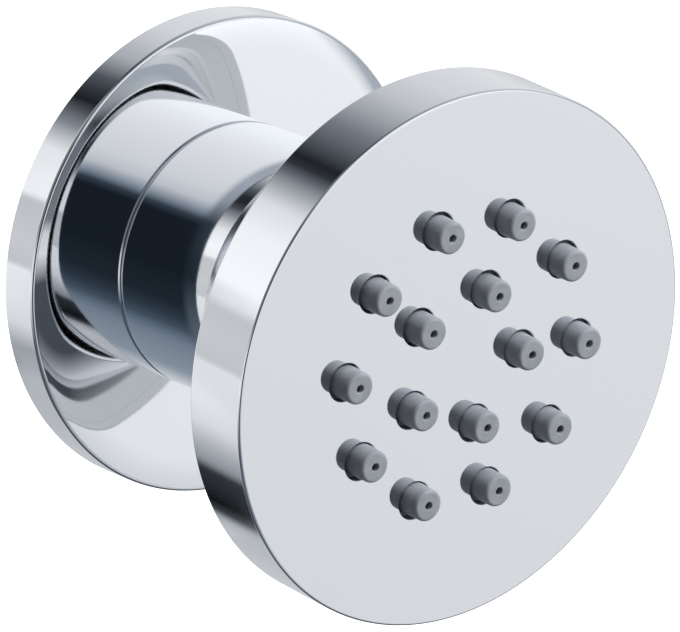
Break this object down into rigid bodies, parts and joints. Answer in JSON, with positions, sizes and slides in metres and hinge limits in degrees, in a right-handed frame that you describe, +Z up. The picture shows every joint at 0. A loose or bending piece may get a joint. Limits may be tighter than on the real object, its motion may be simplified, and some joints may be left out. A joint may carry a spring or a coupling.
{
  "type": "shower body jet",
  "caption": "Chromed round shower body jet: a flat spray face with soft nozzles and a conical back, swivelling on a ball over a round neck on a wall flange, with a threaded inlet.",
  "frame": {"origin": "on the inlet's axis, in the plane of the wall, at the start of the inlet thread", "axes": "+Y along the inlet's axis into the wall, so the water leaves towards -Y; +Z up"},
  "size_m": [0.0601, 0.0627, 0.0604],
  "materials": {
    "chrome": "polished chrome plate",
    "brass": "turned brass",
    "steel": "etched stainless sheet",
    "black_plastic": "moulded, matt",
    "white_plastic": "moulded, smooth",
    "green_plastic": "moulded, glossy",
    "black_rubber": "moulded rubber",
    "foam": "closed-cell foam",
    "grey_silicone": "moulded silicone"
  },
  "bodies": {
    "wall_side": {"ball_stem": "brass", "neck_sleeve": "chrome", "neck_o_ring": "black_rubber", "wall_flange": "chrome", "flange_insert": "black_plastic", "wall_gasket": "foam", "flow_restrictor": "green_plastic", "restrictor_o_ring": "black_rubber", "filter_mesh": "steel", "filter_ring": "black_rubber"},
    "rear_seat": {"rear_seat_ring": "white_plastic"},
    "front_seat": {"front_seat_cup": "white_plastic", "ball_seal": "black_rubber"},
    "head": {"ball_retainer": "brass", "head_body": "chrome", "seat_o_ring": "black_rubber", "head_o_ring": "black_rubber", "face_cup": "chrome", "nozzle_pad": "grey_silicone", "backing_plate": "black_plastic"}
  },
  "joints": [
    {"name": "head_swing", "type": "hinge", "parent": "wall_side", "child": "rear_seat", "pos_m": [0, -0.021, 0], "axis": [0, 0, 1], "range_deg": [-7, 9]},
    {"name": "head_tilt", "type": "hinge", "parent": "rear_seat", "child": "front_seat", "pos_m": [0, -0.021, 0], "axis": [0.9998, -0.0175, 0], "range_deg": [-11.5, 4.5]},
    {"name": "head_turn", "type": "hinge", "parent": "front_seat", "child": "head", "pos_m": [0, -0.021, 0], "axis": [0.0174, 0.998, 0.061], "continuous": true}
  ]
}
